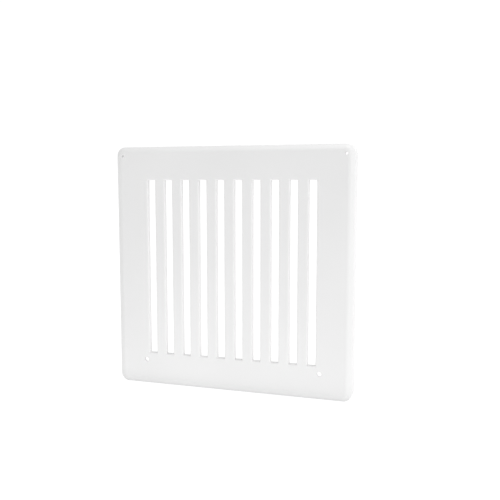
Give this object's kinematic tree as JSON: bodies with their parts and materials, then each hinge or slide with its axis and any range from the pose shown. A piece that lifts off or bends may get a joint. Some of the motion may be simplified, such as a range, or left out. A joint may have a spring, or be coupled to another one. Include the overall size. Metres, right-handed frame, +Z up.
{
  "type": "louvred air grille",
  "caption": "Square bevelled wall grille with upright bars, hung from a wall hanger rod along its top edge and held shut by screws through its bottom margin.",
  "frame": {"origin": "centre of the closed grille's outer box; the wall plane is 7.5 mm behind it", "axes": "+X to the right seen from the room, +Z up, -Y into the room, +Y into the wall"},
  "size_m": [0.225, 0.015, 0.225],
  "materials": {
    "powder_coat": "smooth satin white powder coat",
    "zinc_sheet": "zinc-plated steel sheet",
    "drawn_wire": "bright drawn steel wire",
    "rivet_metal": "satin aluminium",
    "cap_plastic": "matt moulded nylon"
  },
  "bodies": {
    "wall_side": {"wall_hanger": "zinc_sheet", "hinge_rod": "drawn_wire", "rod_cap_left": "cap_plastic", "rod_cap_right": "cap_plastic"},
    "grille": {"front_frame": "powder_coat", "louvre_bar_1": "powder_coat", "louvre_bar_2": "powder_coat", "louvre_bar_3": "powder_coat", "louvre_bar_4": "powder_coat", "louvre_bar_5": "powder_coat", "louvre_bar_6": "powder_coat", "louvre_bar_7": "powder_coat", "louvre_bar_8": "powder_coat", "louvre_bar_9": "powder_coat", "clamp_rail_top": "zinc_sheet", "clamp_rail_bottom": "zinc_sheet", "bar_rivets": "rivet_metal", "hook_left": "zinc_sheet", "hook_right": "zinc_sheet", "hook_rivets": "rivet_metal"}
  },
  "joints": [
    {"name": "grille_swing", "type": "hinge", "parent": "wall_side", "child": "grille", "pos_m": [0, -0.00225, 0.1055], "axis": [-1, 0, 0], "range_deg": [0, 60]}
  ]
}
